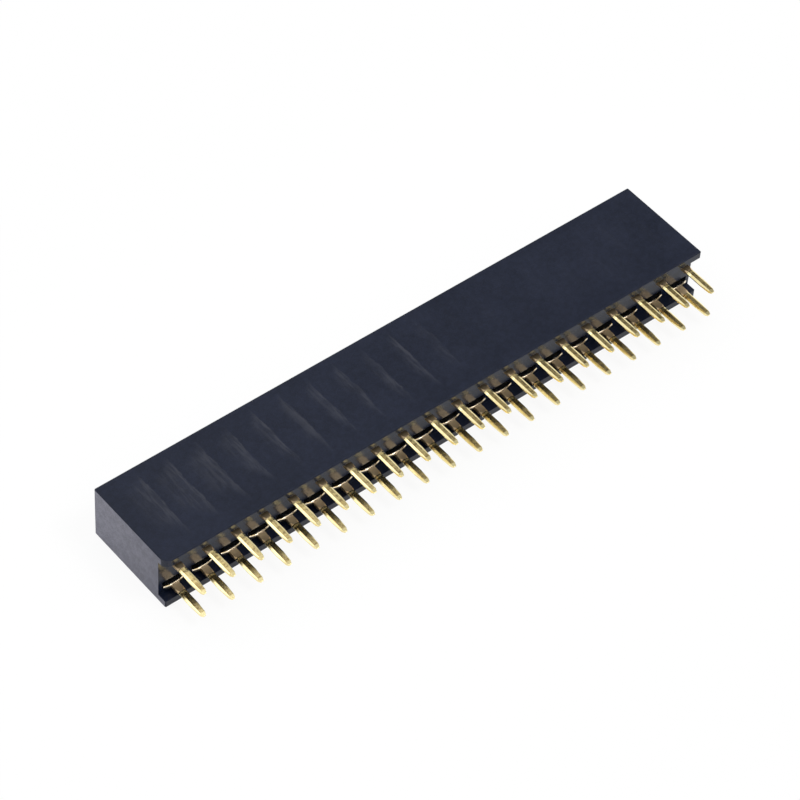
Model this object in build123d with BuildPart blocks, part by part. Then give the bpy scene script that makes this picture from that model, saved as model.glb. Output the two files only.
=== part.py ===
from build123d import *
import os

# Dual-row 2.54 mm socket strip: a moulded housing and forty stamped, gold-plated contacts.
# The strip lies on one long side. X runs along the strip, +Y is the mating face,
# -Y is the board side with the solder tails, and Z is up from the surface it lies on.

# ---------------------------------------------------------------- driving sizes, mm
pitch = 2.54                 # between neighbouring positions
row_pitch = 2.54             # between the two rows
positions = 20               # contacts in each row

# housing
housing_width = 5.0          # across the two rows
housing_height = 8.5         # from the board plane to the mating face
edge_break = 0.08            # small bevel on the outer moulded edges
foot_thickness = 0.68        # long foot on each side of the board-side channel
channel_depth = 0.85         # how far the channel floor stands back from the board plane
corner_radius = 0.7          # upper foot's corner at the -X end, rounded in plan
roof_thickness = 0.9         # solid plastic between the contact chambers and the mating face
entry_width = 0.84           # square hole that the mating pin passes through
funnel_width = 1.4           # square lead-in at the mating face
funnel_depth = 0.45

# contact, stamped and folded from one strip
stock = 0.3                  # strip thickness
tail_reach = 2.9             # tail beyond the board plane
tail_width = 0.64
coining_width = 0.16         # bevel pressed along the four edges of the tail
coining_depth = 0.1
joggle = 0.07                # neck and tail sit this far below the base plate
neck_width = 0.62            # flat neck between the base plate and the pressed tail
neck_length = 0.8
nose_length = 1.2            # tapered end of the tail
nose_tip_length = 0.28       # last, steeper part of the taper
nose_width = 0.44            # width where the steeper part starts
tip_width = 0.24
tip_thickness = 0.12
base_width = 1.8             # outside width of the folded base
wall_height = 0.65           # height of the folded base and of the leaves
fold_bevel = 0.18            # outside corner of each fold
shoulder_stand = 0.27        # how far the base plate stands out of the channel floor
shoulder_width = 0.7         # width of the base plate where the neck joins it
shoulder_sweep = 0.14        # how far the plate's front edge falls back at its ends
wall_relief = 0.4            # from the channel floor to the start of the folded walls
wall_setback = 0.45          # slope of the folded walls at the tail end
base_length = 1.55           # folded base inside the chamber
pinch_gap = 0.46             # between the leaves where they hold the pin
pinch_from_roof = 1.15       # from the leaves' narrowest place to the chamber roof
flare_gap = 0.9              # between the leaf tips
leaf_end_gap = 0.25          # leaf tips to the chamber roof

# fits
side_clearance = 0.04        # contact to chamber wall, except at the barbs
top_clearance = 0.03         # contact walls to chamber top
barb_length = 0.4            # retention barbs, whose crests reach the chamber walls
barb_setback = 0.4           # from the barbs to the end of the folded base

# ---------------------------------------------------------------- worked-out places
housing_length = positions * pitch
overall_depth = housing_height + tail_reach
tip_y = -overall_depth / 2
board_y = tip_y + tail_reach
mating_y = board_y + housing_height
floor_y = board_y + channel_depth
roof_y = mating_y - roof_thickness
middle_z = housing_width / 2
row_z = {"lower": middle_z - row_pitch / 2, "upper": middle_z + row_pitch / 2}
column_x = [(i - (positions - 1) / 2) * pitch for i in range(positions)]

plate_bottom = -stock / 2                      # from the middle of the row
wall_top = plate_bottom + wall_height
chamber_top = wall_top + top_clearance
chamber_width = base_width + 2 * side_clearance
base_end_y = floor_y + base_length


def across(y):
    """Plane square to the tails at y: its x is the part's x, its y the part's z."""
    return Plane(origin=(0, y, 0), x_dir=(1, 0, 0), z_dir=(0, -1, 0))


# ---------------------------------------------------------------- housing
cavities = [(x, z) for x in column_x for z in row_z.values()]

with BuildPart() as housing:
    with BuildSketch(across(board_y)):
        with Locations((0, middle_z)):
            Rectangle(housing_length, housing_width)
    extrude(amount=-housing_height)
    chamfer(housing.edges(), length=edge_break)

    # channel between the two long feet, open at both ends
    with BuildSketch(across(board_y)):
        with Locations((0, middle_z)):
            Rectangle(housing_length, housing_width - 2 * foot_thickness)
    extrude(amount=-channel_depth, mode=Mode.SUBTRACT)

    # rounded corner of the upper foot at one end
    with BuildSketch(Plane.XY.offset(housing_width - foot_thickness)):
        with Locations((corner_radius / 2 - housing_length / 2, board_y + corner_radius / 2)):
            Rectangle(corner_radius, corner_radius)
        with Locations((corner_radius - housing_length / 2, board_y + corner_radius)):
            Circle(corner_radius, mode=Mode.SUBTRACT)
    extrude(amount=foot_thickness, mode=Mode.SUBTRACT)

    # chambers for the contacts, from the channel floor up to the roof
    with BuildSketch(across(floor_y)):
        with Locations(*[(x, z + (plate_bottom + chamber_top) / 2) for x, z in cavities]):
            Rectangle(chamber_width, chamber_top - plate_bottom)
    extrude(amount=floor_y - roof_y, mode=Mode.SUBTRACT)

    # square pin entries, cored from the mating face down to the folded base
    with BuildSketch(across(mating_y)):
        with Locations(*cavities):
            Rectangle(entry_width, entry_width)
    extrude(amount=mating_y - base_end_y, mode=Mode.SUBTRACT)

    # lead-in funnels
    mating_face = housing.faces().sort_by(Axis.Y)[-1]
    chamfer(
        mating_face.inner_wires().edges(),
        length=(funnel_width - entry_width) / 2,
        length2=funnel_depth,
        reference=mating_face,
    )

housing.part.label = "housing"
os.makedirs("parts", exist_ok=True)
export_step(housing.part, "parts/housing.step")


# ---------------------------------------------------------------- contacts
base_edge = base_width / 2
shoulder_y = floor_y - shoulder_stand
neck_y = shoulder_y - neck_length
flat_x = tail_width / 2 - coining_width        # half the flat of the tail
side_z = stock / 2 - coining_depth             # half the straight side of the tail
pinch_y = roof_y - pinch_from_roof
leaf_end_y = roof_y - leaf_end_gap
barb_y = base_end_y - barb_setback - barb_length


def make_contact(x, z):
    """One contact in the cavity whose middle line passes through (x, z)."""
    tail_z = z - joggle
    bottom_z = z + plate_bottom
    with BuildPart() as contact:
        # flat neck, then the tail with its four long edges pressed off
        with BuildSketch(Plane((x, shoulder_y, tail_z), x_dir=(1, 0, 0), z_dir=(0, -1, 0))):
            Rectangle(neck_width, stock)
        extrude(amount=neck_length)
        with BuildSketch(Plane((x, neck_y, tail_z), x_dir=(1, 0, 0), z_dir=(0, -1, 0))):
            with BuildLine():
                Polyline(
                    (tail_width / 2, side_z),
                    (flat_x, stock / 2),
                    (-flat_x, stock / 2),
                    (-tail_width / 2, side_z),
                    (-tail_width / 2, -side_z),
                    (-flat_x, -stock / 2),
                    (flat_x, -stock / 2),
                    (tail_width / 2, -side_z),
                    close=True,
                )
            make_face()
        extrude(amount=neck_y - tip_y)

        # nose, tapered in plan and then in thickness
        with BuildSketch(Plane.XY.offset(tail_z - stock / 2)):
            for side in (-1, 1):
                with BuildLine():
                    Polyline(
                        (x + side * tail_width / 2, tip_y + nose_length),
                        (x + side * nose_width / 2, tip_y + nose_tip_length),
                        (x + side * tip_width / 2, tip_y),
                        (x + side * tail_width / 2, tip_y),
                        close=True,
                    )
                make_face()
        extrude(amount=stock, mode=Mode.SUBTRACT)
        with BuildSketch(Plane.YZ.offset(x)):
            for side in (-1, 1):
                with BuildLine():
                    Polyline(
                        (tip_y + nose_tip_length, tail_z + side * stock / 2),
                        (tip_y, tail_z + side * tip_thickness / 2),
                        (tip_y, tail_z + side * stock / 2),
                        close=True,
                    )
                make_face()
        extrude(amount=tail_width / 2, both=True, mode=Mode.SUBTRACT)

        # base folded up into a channel, the folds pressed sharp inside
        with BuildSketch(Plane((x, shoulder_y, bottom_z), x_dir=(1, 0, 0), z_dir=(0, -1, 0))) as profile:
            Rectangle(base_width, wall_height, align=(Align.CENTER, Align.MIN))
            with Locations((0, stock)):
                Rectangle(base_width - 2 * stock, wall_height - stock,
                          align=(Align.CENTER, Align.MIN), mode=Mode.SUBTRACT)
            chamfer(profile.vertices().group_by(Axis.Y)[0], length=fold_bevel)
        extrude(amount=shoulder_y - base_end_y)

        # the plate's front edge is swept back at its ends, and the folded walls start inside
        with BuildSketch(Plane.XY.offset(bottom_z)):
            for side in (-1, 1):
                with BuildLine():
                    Polyline(
                        (x + side * shoulder_width / 2, shoulder_y),
                        (x + side * base_edge, shoulder_y + shoulder_sweep),
                        (x + side * base_edge, shoulder_y),
                        close=True,
                    )
                make_face()
        extrude(amount=wall_height, mode=Mode.SUBTRACT)
        with BuildSketch(Plane.YZ.offset(x)):
            with BuildLine():
                Polyline(
                    (shoulder_y, bottom_z + stock),
                    (floor_y + wall_relief, bottom_z + stock),
                    (floor_y + wall_relief + wall_setback, bottom_z + wall_height),
                    (shoulder_y, bottom_z + wall_height),
                    close=True,
                )
            make_face()
        extrude(amount=base_edge, both=True, mode=Mode.SUBTRACT)

        # retention barbs: a step against pulling out, then a ramp down to the wall
        with BuildSketch(Plane.XY.offset(bottom_z + stock)):
            for side in (-1, 1):
                with BuildLine():
                    Polyline(
                        (x + side * base_edge, barb_y),
                        (x + side * chamber_width / 2, barb_y),
                        (x + side * base_edge, barb_y + barb_length),
                        close=True,
                    )
                make_face()
        extrude(amount=wall_height - stock)

        # two spring leaves that close towards the pin and open again at their tips
        with BuildSketch(Plane.XY.offset(bottom_z + stock)):
            for side in (-1, 1):
                with BuildLine():
                    Polyline(
                        (x + side * base_edge, base_end_y),
                        (x + side * (pinch_gap / 2 + stock), pinch_y),
                        (x + side * (flare_gap / 2 + stock), leaf_end_y),
                        (x + side * flare_gap / 2, leaf_end_y),
                        (x + side * pinch_gap / 2, pinch_y),
                        (x + side * (base_edge - stock), base_end_y),
                        close=True,
                    )
                make_face()
        extrude(amount=wall_height - stock)

    return contact


for row, z in row_z.items():
    for number, x in enumerate(column_x, start=1):
        contact = make_contact(x, z)
        name = f"contact_{row}_{number:02d}"
        contact.part.label = name
        export_step(contact.part, f"parts/{name}.step")
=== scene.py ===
import math
import random

import bmesh
import bpy
from bpy.props import FloatProperty, FloatVectorProperty, IntProperty, PointerProperty
from mathutils import Matrix, Vector


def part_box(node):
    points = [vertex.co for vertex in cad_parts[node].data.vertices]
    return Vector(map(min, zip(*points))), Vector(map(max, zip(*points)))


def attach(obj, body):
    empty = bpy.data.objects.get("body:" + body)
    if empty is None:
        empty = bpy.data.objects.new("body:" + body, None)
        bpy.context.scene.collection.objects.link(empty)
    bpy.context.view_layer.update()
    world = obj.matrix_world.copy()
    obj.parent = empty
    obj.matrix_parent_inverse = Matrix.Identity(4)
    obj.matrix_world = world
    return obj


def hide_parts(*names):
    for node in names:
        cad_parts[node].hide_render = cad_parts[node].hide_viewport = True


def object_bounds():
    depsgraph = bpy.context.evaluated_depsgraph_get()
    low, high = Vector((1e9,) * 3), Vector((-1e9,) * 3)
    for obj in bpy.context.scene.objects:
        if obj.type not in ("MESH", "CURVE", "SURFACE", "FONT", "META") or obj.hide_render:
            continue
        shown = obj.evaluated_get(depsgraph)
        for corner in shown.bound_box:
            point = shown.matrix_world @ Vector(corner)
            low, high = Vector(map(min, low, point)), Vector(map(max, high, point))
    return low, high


bl_info = {
    "name": "Socket Strip",
    "version": (1, 0, 0),
    "blender": (4, 5, 0),
    "location": "3D View > Sidebar > Socket Strip",
    "description": "Moulded housing, plated contacts and studio for a dual-row socket strip",
    "category": "Object",
}

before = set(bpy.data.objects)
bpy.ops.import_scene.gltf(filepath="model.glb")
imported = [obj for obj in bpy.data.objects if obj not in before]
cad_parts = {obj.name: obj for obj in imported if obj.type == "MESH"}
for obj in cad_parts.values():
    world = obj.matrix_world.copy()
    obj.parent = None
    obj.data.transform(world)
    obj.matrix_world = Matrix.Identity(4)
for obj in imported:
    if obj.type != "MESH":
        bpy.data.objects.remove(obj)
CAD_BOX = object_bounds()

MM = 0.001
NEAR = 0.01 * MM                     # places closer than this count as one place
FLAT = math.radians(1)               # faces that meet flatter than this are one face
CONTACTS = sorted(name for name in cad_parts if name.startswith("contact_"))
HOUSING_LOW, HOUSING_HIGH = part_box("housing")
END_X = (HOUSING_HIGH.x - HOUSING_LOW.x) / 2
MIDDLE_Y = (HOUSING_LOW.y + HOUSING_HIGH.y) / 2
HALF_Y = (HOUSING_HIGH.y - HOUSING_LOW.y) / 2
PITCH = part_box(CONTACTS[1])[0].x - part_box(CONTACTS[0])[0].x


# ------------------------------------------------------------------ sizes and colours
def length(name, description, default):
    """A property that holds a length in metres."""
    return FloatProperty(
        name=name, description=description, default=default,
        min=0.0, precision=6, unit="LENGTH", subtype="DISTANCE",
    )


def place(name, description, default):
    """A property that holds a place on one axis, in metres, on either side of nought."""
    return FloatProperty(
        name=name, description=description, default=default,
        precision=6, unit="LENGTH", subtype="DISTANCE",
    )


def angle(name, description, degrees):
    """A property that holds an angle, with its default given in degrees."""
    return FloatProperty(
        name=name, description=description, default=math.radians(degrees),
        unit="ROTATION", subtype="ANGLE",
    )


def share(name, description, default):
    """A property that holds a share of one."""
    return FloatProperty(
        name=name, description=description, default=default,
        min=0.0, max=1.0, subtype="FACTOR",
    )


def count(name, description, default):
    """A property that holds a small whole number, at least one."""
    return IntProperty(name=name, description=description, default=default, min=1, max=6)


def colour(name, description, default):
    """A property that holds a linear colour."""
    return FloatVectorProperty(
        name=name, description=description, default=default, size=3,
        min=0.0, max=1.0, subtype="COLOR",
    )


class HousingSettings(bpy.types.PropertyGroup):
    edge_radius: length("Edge radius", "Rounding on the moulded edges", 0.035 * MM)
    edge_segments: count("Edge segments", "Faces across each rounded edge", 2)
    edge_angle: angle("Edge angle", "Edges that turn more than this are rounded", 25)
    weld: length("Weld", "Corners nearer than this are one corner", 0.001 * MM)
    plastic: colour("Plastic", "Colour of the moulded plastic", (0.0005, 0.003, 0.012))
    plastic_pale: colour("Pale plastic", "Colour of the paler patches", (0.010, 0.015, 0.036))
    # painted sheen: the cut ends' colour is partly their own paler tone and partly a painted reflection of
    # the pale floor
    cut_end: colour("Cut end", "Colour of the ends, where the strip was cut to length",
                    (0.218, 0.218, 0.268))
    roughness: share("Roughness", "Least roughness of the moulded sides", 0.38)
    specular: share("Specular level", "Strength of the plastic's shine", 0.24)
    grain_size: length("Grain size", "Width of the mould texture's grains", 0.09 * MM)
    grain_depth: length("Grain depth", "Depth of the mould texture", 0.003 * MM)
    sink_depth: length("Sink depth", "Depth of the sink marks over the chamber walls", 0.004 * MM)
    # painted highlight: the streaks over the chamber walls are the sheen of the sink marks, painted into
    # the colour
    streak: colour("Streak", "Colour of the flow streaks over the chamber walls", (0.075, 0.078, 0.095))
    streak_strength: share("Streak strength", "How much of its colour the strongest streak has", 0.42)
    streak_place: length("Streak place", "From a chamber wall to the sharp side of its streak", 0.95 * MM)
    broad_until: place("Broad until", "Where along the strip the broad streaks start to narrow", -21 * MM)
    narrow_from: place("Narrow from", "Where along the strip the streaks have become narrow", -11 * MM)
    strong_until: place("Strong until", "Where along the strip the streaks start to fade", 0.0)
    faint_from: place("Faint from", "Where along the strip the streaks have nearly gone", 6 * MM)


class ContactSettings(bpy.types.PropertyGroup):
    edge_radius: length("Edge radius", "Rounding on the stamped edges", 0.018 * MM)
    edge_segments: count("Edge segments", "Faces across each rounded edge", 2)
    edge_angle: angle("Edge angle", "Edges that turn more than this are rounded", 14)
    weld: length("Weld", "Corners nearer than this are one corner", 0.013 * MM)
    run_out: length("Run-out", "Length over which the tail's bevels fade into the neck", 0.3 * MM)
    lip_radius: length("Lip radius", "Rounding of the plate's front edge", 0.15 * MM)
    tail_bend: length("Tail bend", "Most that a tail's tip is bent out of line", 0.03 * MM)
    seed: IntProperty(name="Seed", description="Start of the random bends", default=7, min=0)
    pressed_y: place("Pressed from", "Where the pressed, polished tail starts", -3.02 * MM)
    plate_y: place("Plate from", "Where the neck ends and the folded plate starts", -2.22 * MM)
    gold: colour("Gold", "Colour of the plating", (1.0, 0.87, 0.48))
    # real stains and painted shade: this darker gold is the colour of the stains, and also darkens the
    # tails' flats as painted shade for the dim surroundings they reflect
    gold_deep: colour("Deep gold", "Colour where the plating is thicker or stained",
                      (0.66, 0.50, 0.20))
    worn_gold: colour("Worn gold", "Colour of the marks that the press left on the tails",
                      (0.24, 0.16, 0.07))
    neck_gold: colour("Neck gold", "Colour of the dull neck", (0.88, 0.67, 0.40))
    plate_gold: colour("Plate gold", "Colour of the folded plate", (1.0, 0.87, 0.66))
    # painted shade: this dark colour stands for the parts of the plates' front edges that catch no light
    lip_gold: colour("Lip gold", "Colour of the stained parts of the plate's front edge",
                     (0.16, 0.11, 0.06))
    roughness: share("Roughness", "Least roughness, on the tail's pressed edges", 0.11)
    crown: FloatProperty(
        name="Crown", description="How much flatter the tail's pressed edges look than they are",
        default=1.33, min=0.0, max=4.0)
    droop: share("Droop", "How much the tail's pressed edges seem to fall towards its tip", 0.30)
    slope_length: length("Slope length", "Length of the soft slope where the press began", 0.30 * MM)
    slope_depth: length("Slope depth", "Depth of the soft slope where the press began", 0.036 * MM)
    scratch_depth: length("Scratch depth", "Depth of the drawing marks on the strip", 0.00025 * MM)


class StudioSettings(bpy.types.PropertyGroup):
    azimuth: angle("Azimuth", "Camera's bearing, 0 looking along +Y", -42.59)
    elevation: angle("Elevation", "Camera's height above the horizon", 48.66)
    roll: angle("Roll", "Camera's turn about its own line of sight", 4.55)
    distance: length("Distance", "Camera to the point it looks at", 243.93 * MM)
    lens: FloatProperty(name="Lens", description="Focal length on a 36 mm sensor",
                        default=148.63, unit="CAMERA")
    aim_x: place("Aim X", "Point looked at, along the strip from the middle of its box", -1.2 * MM)
    aim_y: place("Aim Y", "Point looked at, across the strip from the middle of its box", 0.86 * MM)
    floor: colour("Floor", "Colour of the floor", (0.95, 0.95, 0.95))
    floor_size: length("Floor size", "Side of the square floor", 4.0)
    shade_reach: length("Shade reach", "How far from the strip the floor still shows its shade", 30 * MM)
    floor_seen: share("Floor seen", "How white the floor beside the strip is to the camera", 0.90)
    floor_mirrored: share("Floor mirrored", "How white the floor beside the strip is in reflections", 0.70)


# ------------------------------------------------------------------ scene and node helpers
def put(name, data):
    """Adds an object that shows a mesh, light or camera to the scene."""
    made = bpy.data.objects.new(name, data)
    bpy.context.scene.collection.objects.link(made)
    return made


def empty_tree(owner):
    """Switches on the nodes of a material or world and clears them; returns the tree."""
    owner.use_nodes = True
    owner.node_tree.nodes.clear()
    return owner.node_tree


def add(tree, kind, values=(), **settings):
    """Adds a node, sets its settings and then its input values by name or number."""
    made = tree.nodes.new(kind)
    for key, value in settings.items():
        setattr(made, key, value)
    for key, value in dict(values).items():
        made.inputs[key].default_value = value
    return made


def join(tree, *pairs):
    """Links each pair of output and input."""
    for output, entry in pairs:
        tree.links.new(output, entry)


def calculate(tree, operation, *terms, clamp=False):
    """A math node on numbers and outputs; returns its output."""
    made = add(tree, "ShaderNodeMath", operation=operation, use_clamp=clamp)
    for entry, term in zip(made.inputs, terms):
        if isinstance(term, (int, float)):
            entry.default_value = term
        else:
            tree.links.new(term, entry)
    return made.outputs[0]


def product(tree, first, *others):
    """Multiplies numbers and outputs, in the order given."""
    for other in others:
        first = calculate(tree, "MULTIPLY", first, other)
    return first


def weighted(tree, start, *terms):
    """Adds values to a start, each times its weight."""
    for value, weight in terms:
        start = calculate(tree, "MULTIPLY_ADD", value, weight, start)
    return start


def spread(tree, value, low, high, to_low=0.0, to_high=1.0):
    """Maps a value from one range to another, eased at both ends."""
    made = add(tree, "ShaderNodeMapRange", interpolation_type="SMOOTHSTEP",
               values={"From Min": low, "From Max": high, "To Min": to_low, "To Max": to_high})
    tree.links.new(value, made.inputs["Value"])
    return made.outputs["Result"]


def blend(tree, factor, first, second):
    """Mixes two colours, each given as numbers or as an output."""
    made = add(tree, "ShaderNodeMix", data_type="RGBA", clamp_factor=True)
    tree.links.new(factor, made.inputs["Factor"])
    for socket, value in ((made.inputs[6], first), (made.inputs[7], second)):
        if isinstance(value, bpy.types.NodeSocket):
            tree.links.new(value, socket)
        else:
            socket.default_value = (*value, 1.0)
    return made.outputs[2]


def bump(tree, height, distance, normal=None):
    """A bump node of a real depth; returns its normal."""
    made = add(tree, "ShaderNodeBump", {"Strength": 1.0, "Distance": distance})
    tree.links.new(height, made.inputs["Height"])
    if normal is not None:
        tree.links.new(normal, made.inputs["Normal"])
    return made.outputs[0]


def coordinates(tree):
    """The object's own coordinates, and the X, Y and Z of its points and of its normals."""
    vectors = add(tree, "ShaderNodeTexCoord").outputs
    point = add(tree, "ShaderNodeSeparateXYZ")
    facing = add(tree, "ShaderNodeSeparateXYZ")
    join(tree, (vectors["Object"], point.inputs[0]), (vectors["Normal"], facing.inputs[0]))
    return vectors, point.outputs, facing.outputs


def ray_kinds(tree):
    """1 for rays from the camera, and 1 for rays from shiny surfaces or through clear ones."""
    path = add(tree, "ShaderNodeLightPath").outputs
    shiny = calculate(tree, "MAXIMUM", path["Is Glossy Ray"], path["Is Transmission Ray"])
    return path["Is Camera Ray"], shiny


def new_group(name, inputs, outputs):
    """A shader node group with float or vector inputs and float outputs."""
    tree = bpy.data.node_groups.new(name, "ShaderNodeTree")
    for label, kind, default in inputs:
        socket = tree.interface.new_socket(name=label, in_out="INPUT", socket_type=kind)
        if default is not None:
            socket.default_value = default
    for label in outputs:
        tree.interface.new_socket(name=label, in_out="OUTPUT", socket_type="NodeSocketFloat")
    entry = tree.nodes.new("NodeGroupInput")
    leave = tree.nodes.new("NodeGroupOutput")
    return tree, entry.outputs, leave.inputs


def use_group(tree, group, vector, **values):
    """Places a node group in a material with its own values; returns its one output."""
    made = add(tree, "ShaderNodeGroup", values, node_tree=group)
    tree.links.new(vector, made.inputs["Vector"])
    return made.outputs[0]


def new_material(name):
    """A material with a Principled shader; returns it, its tree and the shader's inputs."""
    made = bpy.data.materials.new(name)
    tree = empty_tree(made)
    shader = add(tree, "ShaderNodeBsdfPrincipled")
    output = add(tree, "ShaderNodeOutputMaterial")
    join(tree, (shader.outputs[0], output.inputs["Surface"]))
    return made, tree, shader.inputs


# ------------------------------------------------------------------ shared effects
NOISE_LOW, NOISE_HIGH = 0.3, 0.7     # most of a noise texture's values lie between these
FINER = 6.0                          # how many times smaller the fine cloud is


def slow_patches():
    """Group: cloudy patches of a given size, from 0 to 1, with finer cloud inside them."""
    tree, entry, leave = new_group(
        "slow patches",
        [("Vector", "NodeSocketVector", None), ("Size", "NodeSocketFloat", 0.005),
         ("Fine", "NodeSocketFloat", 0.3)],
        ["Patches"])
    noise = []
    for finer in (1.0, FINER):
        scale = calculate(tree, "DIVIDE", finer, entry["Size"])
        made = add(tree, "ShaderNodeTexNoise", {"Detail": 3.0, "Roughness": 0.55})
        join(tree, (entry["Vector"], made.inputs["Vector"]), (scale, made.inputs["Scale"]))
        noise.append(spread(tree, made.outputs["Fac"], NOISE_LOW, NOISE_HIGH))
    mixed = add(tree, "ShaderNodeMix", data_type="FLOAT")
    join(tree, (entry["Fine"], mixed.inputs["Factor"]), (noise[0], mixed.inputs[2]),
         (noise[1], mixed.inputs[3]), (mixed.outputs[0], leave["Patches"]))


def long_marks():
    """Group: fine marks that run along Y, of a given length and spacing, from 0 to 1."""
    tree, entry, leave = new_group(
        "long marks",
        [("Vector", "NodeSocketVector", None), ("Length", "NodeSocketFloat", 0.002),
         ("Spacing", "NodeSocketFloat", 0.00005)],
        ["Marks"])
    across = calculate(tree, "DIVIDE", 1.0, entry["Spacing"])
    along = calculate(tree, "DIVIDE", 1.0, entry["Length"])
    stretch = add(tree, "ShaderNodeCombineXYZ")
    scaled = add(tree, "ShaderNodeVectorMath", operation="MULTIPLY")
    noise = add(tree, "ShaderNodeTexNoise", {"Scale": 1.0, "Detail": 2.0, "Roughness": 0.6})
    join(tree, (across, stretch.inputs["X"]), (along, stretch.inputs["Y"]),
         (across, stretch.inputs["Z"]), (entry["Vector"], scaled.inputs[0]),
         (stretch.outputs[0], scaled.inputs[1]), (scaled.outputs[0], noise.inputs["Vector"]),
         (spread(tree, noise.outputs["Fac"], NOISE_LOW, NOISE_HIGH), leave["Marks"]))


def shared_effects():
    """The shared node groups by name, each built once."""
    for make in (slow_patches, long_marks):
        if make.__name__.replace("_", " ") not in bpy.data.node_groups:
            make()
    return bpy.data.node_groups


# ------------------------------------------------------------------ plastic
SLANTED, SQUARE = 0.80, 0.97         # a normal's part along an axis, on slanted and square faces
MOST = (0.1, 0.9)                    # nearly the whole range of an effect that goes from 0 to 1


def sink_marks(tree, point, along):
    """Heights with a shallow sink over every chamber wall, fading towards the long edges."""
    wave = calculate(tree, "COSINE", product(tree, along, 2 * math.pi / PITCH))
    away = calculate(tree, "ABSOLUTE", calculate(tree, "SUBTRACT", point["Y"], MIDDLE_Y))
    return product(tree, wave, spread(tree, away, 0.25 * HALF_Y, 0.9 * HALF_Y, 1.0, 0.0))


def flow_streaks(tree, settings, point, along, marks):
    """Mask of a painted highlight beside every chamber wall, along its sink mark, sharp on one side and
    soft on the other.
    """
    # places across the housing, in halves of its depth, where a streak opens and closes again
    opening = [MIDDLE_Y + part * HALF_Y for part in (-0.85, -0.10)]
    closing = [MIDDLE_Y + part * HALF_Y for part in (0.45, 0.90)]
    opened = product(tree, spread(tree, point["Y"], *opening),
                     spread(tree, point["Y"], *closing, 1.0, 0.0))

    # widths in shares of the pitch: the soft side is as wide as the streak is open there
    sharp_side, closed, broad, narrow = 0.95, 0.06, 0.90, 0.36
    softness = 1.5
    turn = calculate(tree, "FRACT", calculate(
        tree, "DIVIDE", calculate(tree, "SUBTRACT", along, settings.streak_place), PITCH))
    widest = spread(tree, point["X"], settings.broad_until, settings.narrow_from, broad, narrow)
    width = calculate(tree, "MULTIPLY_ADD", opened, widest, closed)
    behind = calculate(tree, "DIVIDE", calculate(tree, "SUBTRACT", sharp_side, turn), width)
    soft = calculate(tree, "POWER", calculate(tree, "SUBTRACT", 1.0, behind, clamp=True), softness)
    sharp = spread(tree, turn, sharp_side - 0.01, sharp_side + 0.04, 1.0, 0.0)

    # along the strip the painted highlight is none over the first wall, then strong, and faint in the far
    # half
    none_until, full_from = HOUSING_LOW.x + 0.8 * MM, HOUSING_LOW.x + 2 * MM
    faint, weakest_mark = 0.06, 0.35
    return product(
        tree, soft, sharp, opened,
        spread(tree, point["X"], settings.strong_until, settings.faint_from, 1.0, faint),
        spread(tree, point["X"], none_until, full_from),
        spread(tree, marks, *MOST, weakest_mark, 1.0))


def moulded_plastic(settings, effects):
    """Black plastic: satin outside, glossier towards the board, with painted highlights along the sink
    marks over the chamber walls, and sawn ends paled partly with painted sheen.
    """
    made, tree, shader = new_material("moulded plastic")
    vectors, point, facing = coordinates(tree)
    patches, marks = effects["slow patches"], effects["long marks"]
    cloud = use_group(tree, patches, vectors["Object"], Size=4.0 * MM, Fine=0.35)
    speck = use_group(tree, patches, vectors["Object"], Size=0.45 * MM, Fine=0.6)
    rub = use_group(tree, marks, vectors["Object"], Length=3.0 * MM, Spacing=0.12 * MM)
    sheen = use_group(tree, marks, vectors["Object"], Length=2.0 * MM, Spacing=0.3 * MM)

    # masks: the long sides, the faces towards the board, and the sawn ends
    side = spread(tree, calculate(tree, "ABSOLUTE", facing["Z"]), SLANTED, SQUARE)
    board = spread(tree, facing["Y"], -SQUARE, -SLANTED, 1.0, 0.0)
    end = spread(tree, calculate(tree, "ABSOLUTE", facing["X"]), SLANTED, SQUARE)
    outermost = spread(tree, calculate(tree, "ABSOLUTE", point["X"]), END_X - 2 * NEAR, END_X - NEAR)
    sawn = product(tree, end, outermost)

    # the marks over the walls wander a little along the strip
    wander = 0.12 * PITCH
    along = weighted(tree, point["X"], (cloud, wander))
    # painted highlight along each sink mark
    streak = product(tree, flow_streaks(tree, settings, point, along, sheen),
                     side, settings.streak_strength)
    sink = product(tree, sink_marks(tree, point, along), side)

    # the sawn ends are paler, partly their own rough tone and partly a painted reflection of the pale
    # floor; painted sheen makes them palest towards the mating side, and they are mottled
    sawn_pale_and_painted_sheen = product(tree, sawn,
                       spread(tree, point["Y"], HOUSING_LOW.y, HOUSING_HIGH.y, 0.72, 1.0),
                       spread(tree, speck, *MOST, 0.65, 1.0))
    mottle = weighted(tree, 0.0, (cloud, 0.35), (speck, 0.65))
    tone = blend(tree, mottle, settings.plastic, settings.plastic_pale)
    tone = blend(tree, streak, tone, settings.streak)
    tone = blend(tree, sawn_pale_and_painted_sheen, tone, settings.cut_end)
    rough = weighted(tree, settings.roughness, (cloud, 0.08), (board, -0.24), (sawn, 0.10))

    grain = add(tree, "ShaderNodeTexNoise",
                {"Scale": 1 / settings.grain_size, "Detail": 2.0, "Roughness": 0.5})
    join(tree, (vectors["Object"], grain.inputs["Vector"]))
    normal = bump(tree, sink, settings.sink_depth)
    normal = bump(tree, grain.outputs["Fac"], settings.grain_depth, normal)
    normal = bump(tree, product(tree, rub, sawn), 2 * settings.grain_depth, normal)
    join(tree, (tone, shader["Base Color"]), (rough, shader["Roughness"]), (normal, shader["Normal"]))
    shader["Specular IOR Level"].default_value = settings.specular
    shader["IOR"].default_value = 1.5
    return made


# ------------------------------------------------------------------ plating
LIP_SHADE = 0.85                     # how much of its colour the painted shade on a plate's edge has


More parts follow.
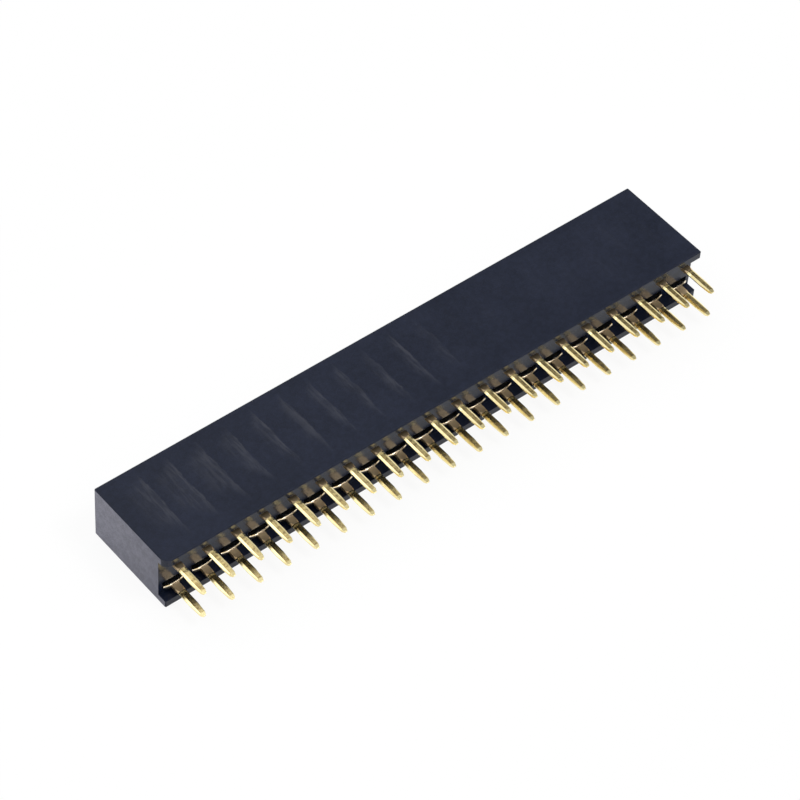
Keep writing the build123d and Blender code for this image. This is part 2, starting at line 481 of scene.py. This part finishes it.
def lip_stains(tree, point, facing):
    """Mask of the painted shade on the plates' front edges, where their uneven stamping catches no light;
    the ends of each edge stay bright.
    """
    # across a contact in shares of the pitch, with the contact's middle at a half
    turn = calculate(tree, "FRACT", calculate(tree, "DIVIDE", point["X"], PITCH))
    low_end = spread(tree, turn, 0.36, 0.44, 1.0, 0.0)
    high_end = spread(tree, turn, 0.70, 0.78)
    # the ends on the low side get painted shade too in the far half of the strip
    low_ends_lit = spread(tree, point["X"], -6 * MM, 4 * MM, 1.0, 0.30)
    bright_ends = calculate(tree, "MAXIMUM", product(tree, low_end, low_ends_lit), high_end)
    front = spread(tree, facing["Y"], -0.45, -0.15, 1.0, 0.0)
    return product(tree, front, calculate(tree, "SUBTRACT", 1.0, bright_ends), LIP_SHADE)


def crowned_normal(tree, settings, vectors, point, facing, pressed, flat):
    """Normals that show the tail's pressed edges crowned: flatter, and falling to the tip."""
    lift = product(tree, pressed, settings.crown, facing["Z"])
    edge = calculate(tree, "SUBTRACT", calculate(tree, "ABSOLUTE", facing["Z"]), flat, clamp=True)
    slope_end = settings.pressed_y - settings.slope_length
    past = spread(tree, point["Y"], slope_end - 0.20 * MM, slope_end + 0.10 * MM, 1.0, 0.0)
    fall = product(tree, edge, past, -settings.droop)
    change = add(tree, "ShaderNodeCombineXYZ")
    total = add(tree, "ShaderNodeVectorMath", operation="ADD")
    crowned = add(tree, "ShaderNodeVectorMath", operation="NORMALIZE")
    turned = add(tree, "ShaderNodeVectorTransform", vector_type="NORMAL",
                 convert_from="OBJECT", convert_to="WORLD")
    join(tree, (lift, change.inputs["Z"]), (fall, change.inputs["Y"]),
         (vectors["Normal"], total.inputs[0]), (change.outputs[0], total.inputs[1]),
         (total.outputs[0], crowned.inputs[0]), (crowned.outputs[0], turned.inputs[0]))
    return turned.outputs[0]


def gold_plating(settings, effects):
    """Gold plating: satin flats darkened with painted shade and bright edges on the tails, dull necks, and
    painted shade on the plates' front edges.
    """
    made, tree, shader = new_material("gold plating")
    vectors, point, facing = coordinates(tree)
    patches, marks = effects["slow patches"], effects["long marks"]
    cloud = use_group(tree, patches, vectors["Object"], Size=1.6 * MM, Fine=0.4)
    press = use_group(tree, patches, vectors["Object"], Size=0.22 * MM, Fine=0.35)
    drawn = use_group(tree, marks, vectors["Object"], Length=1.2 * MM, Spacing=0.05 * MM)

    # masks: the pressed tail, the plate, the dull neck between them, and the tail's satin flats, which
    # also carry painted shade
    pressed = spread(tree, point["Y"], settings.pressed_y - NEAR, settings.pressed_y, 1.0, 0.0)
    plate = spread(tree, point["Y"], settings.plate_y - 3 * NEAR, settings.plate_y - 2 * NEAR)
    dull = calculate(tree, "SUBTRACT", calculate(tree, "SUBTRACT", 1.0, pressed), plate, clamp=True)
    flat = spread(tree, calculate(tree, "ABSOLUTE", facing["Z"]), 0.95, 0.99)
    satin = product(tree, flat, pressed)
    stained = spread(tree, cloud, 0.45, 0.95)
    worn = product(tree, spread(tree, press, 0.45, 0.85, 0.0, 0.75), satin)
    lip = product(tree, lip_stains(tree, point, facing), plate)

    # the stains are real; the flats' share is painted shade, darker where they reflect the dim
    # surroundings
    tone = blend(tree, weighted(tree, 0.0, (stained, 0.35), (satin, 0.62)),
                 settings.gold, settings.gold_deep)
    tone = blend(tree, worn, tone, settings.worn_gold)
    tone = blend(tree, dull, tone, settings.neck_gold)
    tone = blend(tree, plate, tone, settings.plate_gold)
    # painted shade along the plates' front edges
    tone = blend(tree, lip, tone, settings.lip_gold)
    rough = weighted(tree, settings.roughness, (dull, 0.23), (satin, 0.10), (cloud, 0.04), (drawn, 0.02))

    normal = crowned_normal(tree, settings, vectors, point, facing, pressed, flat)
    slope = spread(tree, point["Y"], settings.pressed_y - settings.slope_length, settings.pressed_y)
    normal = bump(tree, slope, settings.slope_depth, normal)
    normal = bump(tree, drawn, settings.scratch_depth, normal)
    join(tree, (tone, shader["Base Color"]), (rough, shader["Roughness"]), (normal, shader["Normal"]))
    shader["Metallic"].default_value = 1.0
    return made


# ------------------------------------------------------------------ pieces
TOWARDS = 0.9                        # a normal's part along the axis that its face looks along
NECK_SIDE = 0.25 * MM                # corners further than this from the middle are at the sides
LIP_SEGMENTS = 8                     # faces across the plate's rounded front edge


def write_smooth(shape, mesh):
    """Writes an edited shape back to its mesh, shaded smooth."""
    for face in shape.faces:
        face.smooth = True
    shape.to_mesh(mesh)
    shape.free()


def rounded_copy(node, name, settings, finish):
    """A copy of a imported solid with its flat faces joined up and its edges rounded."""
    mesh = node.data.copy()
    mesh.name = name
    piece = put(name, mesh)
    shape = bmesh.new()
    shape.from_mesh(mesh)
    bmesh.ops.remove_doubles(shape, verts=shape.verts, dist=settings.weld)
    bmesh.ops.dissolve_limit(shape, angle_limit=FLAT, verts=shape.verts, edges=shape.edges)
    write_smooth(shape, mesh)
    for layer in ("custom_normal", "sharp_edge", "sharp_face"):
        if layer in mesh.attributes:
            mesh.attributes.remove(mesh.attributes[layer])
    mesh.materials.clear()
    mesh.materials.append(finish)
    edges = piece.modifiers.new("rounded edges", "BEVEL")
    edges.width = settings.edge_radius
    edges.segments = settings.edge_segments
    edges.limit_method = "ANGLE"
    edges.angle_limit = settings.edge_angle
    edges.use_clamp_overlap = True
    edges.harden_normals = True
    return piece


def round_lip(mesh, lip_y, radius):
    """Rounds the upper front edge of a contact's plate, which lies past lip_y."""
    shape = bmesh.new()
    shape.from_mesh(mesh)
    lip = []
    for edge in shape.edges:
        normals = [face.normal for face in edge.link_faces]
        front = any(normal.y < -TOWARDS for normal in normals)
        upper = any(normal.z > TOWARDS for normal in normals)
        if front and upper and all(corner.co.y > lip_y for corner in edge.verts):
            lip.append(edge)
    bmesh.ops.bevel(shape, geom=lip, offset=radius, segments=LIP_SEGMENTS, profile=0.5, affect="EDGES",
                    clamp_overlap=True)
    write_smooth(shape, mesh)


def run_out(mesh, start_y, distance):
    """Lets the tail's pressed bevels run out into the neck instead of ending in a step.

    The neck's four outer corners where the tail starts move back, so each bevel ends in a point.
    """
    middle = sum((corner.co for corner in mesh.vertices), Vector()) / len(mesh.vertices)
    start = [corner for corner in mesh.vertices if abs(corner.co.y - start_y) < NEAR]
    top = max(corner.co.z for corner in start) - NEAR
    bottom = min(corner.co.z for corner in start) + NEAR
    for corner in start:
        if abs(corner.co.x - middle.x) > NECK_SIDE and not bottom < corner.co.z < top:
            corner.co.y += distance


def bend_tail(mesh, root_y, tip_y, shift):
    """Bends the part of a contact past root_y, most at its tip, by a vector."""
    for corner in mesh.vertices:
        if corner.co.y < root_y:
            along = (root_y - corner.co.y) / (root_y - tip_y)
            corner.co += shift * along ** 2


def seat(piece, node_name):
    """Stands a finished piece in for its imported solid."""
    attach(piece, "root")
    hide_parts(node_name)


class SOCKETSTRIP_OT_housing(bpy.types.Operator):
    """Finish the moulded housing"""
    bl_idname = "socketstrip.housing"
    bl_label = "Housing"

    def execute(self, context):
        settings = context.scene.socketstrip_housing
        finish = moulded_plastic(settings, shared_effects())
        piece = rounded_copy(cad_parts["housing"], "moulded_housing", settings, finish)
        seat(piece, "housing")
        return {"FINISHED"}


class SOCKETSTRIP_OT_contacts(bpy.types.Operator):
    """Finish both rows of stamped contacts"""
    bl_idname = "socketstrip.contacts"
    bl_label = "Contacts"

    def execute(self, context):
        settings = context.scene.socketstrip_contacts
        finish = gold_plating(settings, shared_effects())
        chance = random.Random(settings.seed)
        for node_name in CONTACTS:
            piece = rounded_copy(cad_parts[node_name], node_name.replace("contact", "plated"),
                                 settings, finish)
            round_lip(piece.data, settings.plate_y - NEAR, settings.lip_radius)
            run_out(piece.data, settings.pressed_y, settings.run_out)
            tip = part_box(node_name)[0]
            shift = Vector((chance.uniform(-1, 1), 0, chance.uniform(-1, 1))) * settings.tail_bend
            bend_tail(piece.data, HOUSING_LOW.y, tip.y, shift)
            seat(piece, node_name)
        return {"FINISHED"}


# ------------------------------------------------------------------ stage
SHADE_START = 2 * MM                 # up to this far from the strip the floor has its full shade
FLOOR_PATCH = 0.98                   # brightness of the floor's darker patches, as a share
EVEN_LIGHT = 0.55                    # brightness of the world for matte surfaces
SKY = (                              # sine of the height above the horizon, brightness
    (0.0, 1.0),
    (0.52, 1.0),
    (0.66, 0.14),
    (0.79, 0.10),
    (0.88, 0.50),
    (1.0, 1.0),
)
LAMPS = (                            # name, azimuth and elevation in degrees, distance, width and
                                     # height in metres, brightness
    ("key softbox", -20, 52, 0.6, 0.80, 0.52, 1.15),
    ("top softbox", 170, 74, 0.7, 0.5, 0.4, 1.0),
    ("side lamp", 140, 58, 0.6, 0.20, 0.20, 8.0),
)


def pale_floor(settings, effects):
    """Matte floor, seen as plain white a little way off, that keeps its shade by the strip."""
    made = bpy.data.materials.new("pale floor")
    tree = empty_tree(made)
    vectors, point, _ = coordinates(tree)
    cloud = use_group(tree, effects["slow patches"], vectors["Object"], Size=0.4, Fine=0.2)
    matte = add(tree, "ShaderNodeBsdfDiffuse")
    pale = tuple(FLOOR_PATCH * channel for channel in settings.floor)
    glow = add(tree, "ShaderNodeEmission", {"Color": (1, 1, 1, 1), "Strength": 1.0})
    mixed = add(tree, "ShaderNodeMixShader")
    output = add(tree, "ShaderNodeOutputMaterial")

    gaps = []
    for axis, reach in (("X", CAD_BOX[1].x), ("Y", CAD_BOX[1].y)):
        beyond = calculate(tree, "SUBTRACT", calculate(tree, "ABSOLUTE", point[axis]), reach)
        gaps.append(calculate(tree, "MAXIMUM", beyond, 0.0))
    away = spread(tree, calculate(tree, "ADD", *gaps), SHADE_START, settings.shade_reach)
    whites = []
    for rays, white in zip(ray_kinds(tree), (settings.floor_seen, settings.floor_mirrored)):
        whites.append(product(tree, rays, weighted(tree, white, (away, 1 - white))))
    join(tree, (blend(tree, cloud, settings.floor, pale), matte.inputs["Color"]),
         (calculate(tree, "MAXIMUM", *whites), mixed.inputs["Fac"]),
         (matte.outputs[0], mixed.inputs[1]), (glow.outputs[0], mixed.inputs[2]),
         (mixed.outputs[0], output.inputs["Surface"]))
    return made


def softbox(name, azimuth, elevation, distance, width, height, brightness, aim):
    """A rectangular area light that faces the aim point and is as bright as a white of that value."""
    data = bpy.data.lights.new(name, "AREA")
    data.shape = "RECTANGLE"
    data.size = width
    data.size_y = height
    data.energy = brightness * math.pi * width * height
    lamp = put(name, data)
    bearing, rise = math.radians(azimuth), math.radians(elevation)
    out = Vector((math.sin(bearing) * math.cos(rise), math.cos(bearing) * math.cos(rise), math.sin(rise)))
    lamp.location = aim + distance * out
    lamp.rotation_euler = (-out).to_track_quat("-Z", "Y").to_euler()
    lamp.visible_camera = False


def surroundings():
    """World: white round the horizon and overhead, dark between, and even on matte surfaces."""
    world = bpy.data.worlds.new("studio")
    bpy.context.scene.world = world
    tree = empty_tree(world)
    vectors = add(tree, "ShaderNodeTexCoord").outputs
    height = add(tree, "ShaderNodeSeparateXYZ")
    ramp = add(tree, "ShaderNodeValToRGB")
    while len(ramp.color_ramp.elements) < len(SKY):
        ramp.color_ramp.elements.new(0.5)
    for element, (where, level) in zip(ramp.color_ramp.elements, SKY):
        element.position = where
        element.color = (level, level, level, 1)
    seen = add(tree, "ShaderNodeBackground", {"Strength": 1.0})
    even = add(tree, "ShaderNodeBackground", {"Color": (1, 1, 1, 1), "Strength": EVEN_LIGHT})
    mixed = add(tree, "ShaderNodeMixShader")
    output = add(tree, "ShaderNodeOutputWorld")
    join(tree, (vectors["Generated"], height.inputs[0]), (height.outputs["Z"], ramp.inputs["Fac"]),
         (ramp.outputs["Color"], seen.inputs["Color"]),
         (calculate(tree, "MAXIMUM", *ray_kinds(tree)), mixed.inputs["Fac"]),
         (even.outputs[0], mixed.inputs[1]), (seen.outputs[0], mixed.inputs[2]),
         (mixed.outputs[0], output.inputs["Surface"]))


def set_camera(settings, middle):
    """A camera that looks at the aim point from its bearing, height and distance."""
    lens = bpy.data.cameras.new("camera")
    lens.lens = settings.lens
    lens.clip_start = 10 * MM
    camera = put("camera", lens)
    turn = (Matrix.Rotation(settings.azimuth, 4, "Z")
            @ Matrix.Rotation(math.pi / 2 - settings.elevation, 4, "X")
            @ Matrix.Rotation(settings.roll, 4, "Z"))
    aim = middle + Vector((settings.aim_x, settings.aim_y, 0))
    back = turn @ Vector((0, 0, 1))
    camera.matrix_world = Matrix.Translation(aim + settings.distance * back) @ turn
    bpy.context.scene.camera = camera


class SOCKETSTRIP_OT_stage(bpy.types.Operator):
    """Lay the floor, hang the lights and set the camera"""
    bl_idname = "socketstrip.stage"
    bl_label = "Stage"

    def execute(self, context):
        settings = context.scene.socketstrip_studio
        low, high = CAD_BOX
        middle = (low + high) / 2

        half = settings.floor_size / 2
        sheet = bpy.data.meshes.new("floor")
        corners = [(-half, -half, low.z), (half, -half, low.z), (half, half, low.z), (-half, half, low.z)]
        sheet.from_pydata(corners, [], [(0, 1, 2, 3)])
        floor = put("floor", sheet)
        sheet.materials.append(pale_floor(settings, shared_effects()))

        surroundings()
        for lamp in LAMPS:
            softbox(*lamp, middle)
        set_camera(settings, middle)
        context.scene.view_settings.view_transform = "Standard"
        return {"FINISHED"}


# ------------------------------------------------------------------ sidebar and start
STEPS = (
    (SOCKETSTRIP_OT_housing, "socketstrip_housing", HousingSettings),
    (SOCKETSTRIP_OT_contacts, "socketstrip_contacts", ContactSettings),
    (SOCKETSTRIP_OT_stage, "socketstrip_studio", StudioSettings),
)


class SOCKETSTRIP_PT_sidebar(bpy.types.Panel):
    """Lists the settings and the steps that build the strip"""
    bl_idname = "SOCKETSTRIP_PT_sidebar"
    bl_label = "Socket Strip"
    bl_space_type = "VIEW_3D"
    bl_region_type = "UI"
    bl_category = "Socket Strip"

    def draw(self, context):
        for step, name, _ in STEPS:
            box = self.layout.box()
            box.operator(step.bl_idname)
            group = getattr(context.scene, name)
            for key in group.bl_rna.properties.keys():
                if key not in ("name", "rna_type"):
                    box.prop(group, key)


def register():
    for step, name, group in STEPS:
        bpy.utils.register_class(group)
        bpy.utils.register_class(step)
        setattr(bpy.types.Scene, name, PointerProperty(type=group))
    bpy.utils.register_class(SOCKETSTRIP_PT_sidebar)


def unregister():
    bpy.utils.unregister_class(SOCKETSTRIP_PT_sidebar)
    for step, name, group in reversed(STEPS):
        delattr(bpy.types.Scene, name)
        bpy.utils.unregister_class(step)
        bpy.utils.unregister_class(group)


def main():
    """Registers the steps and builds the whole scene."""
    register()
    bpy.ops.socketstrip.housing()
    bpy.ops.socketstrip.contacts()
    bpy.ops.socketstrip.stage()


if __name__ == "__main__":
    main()
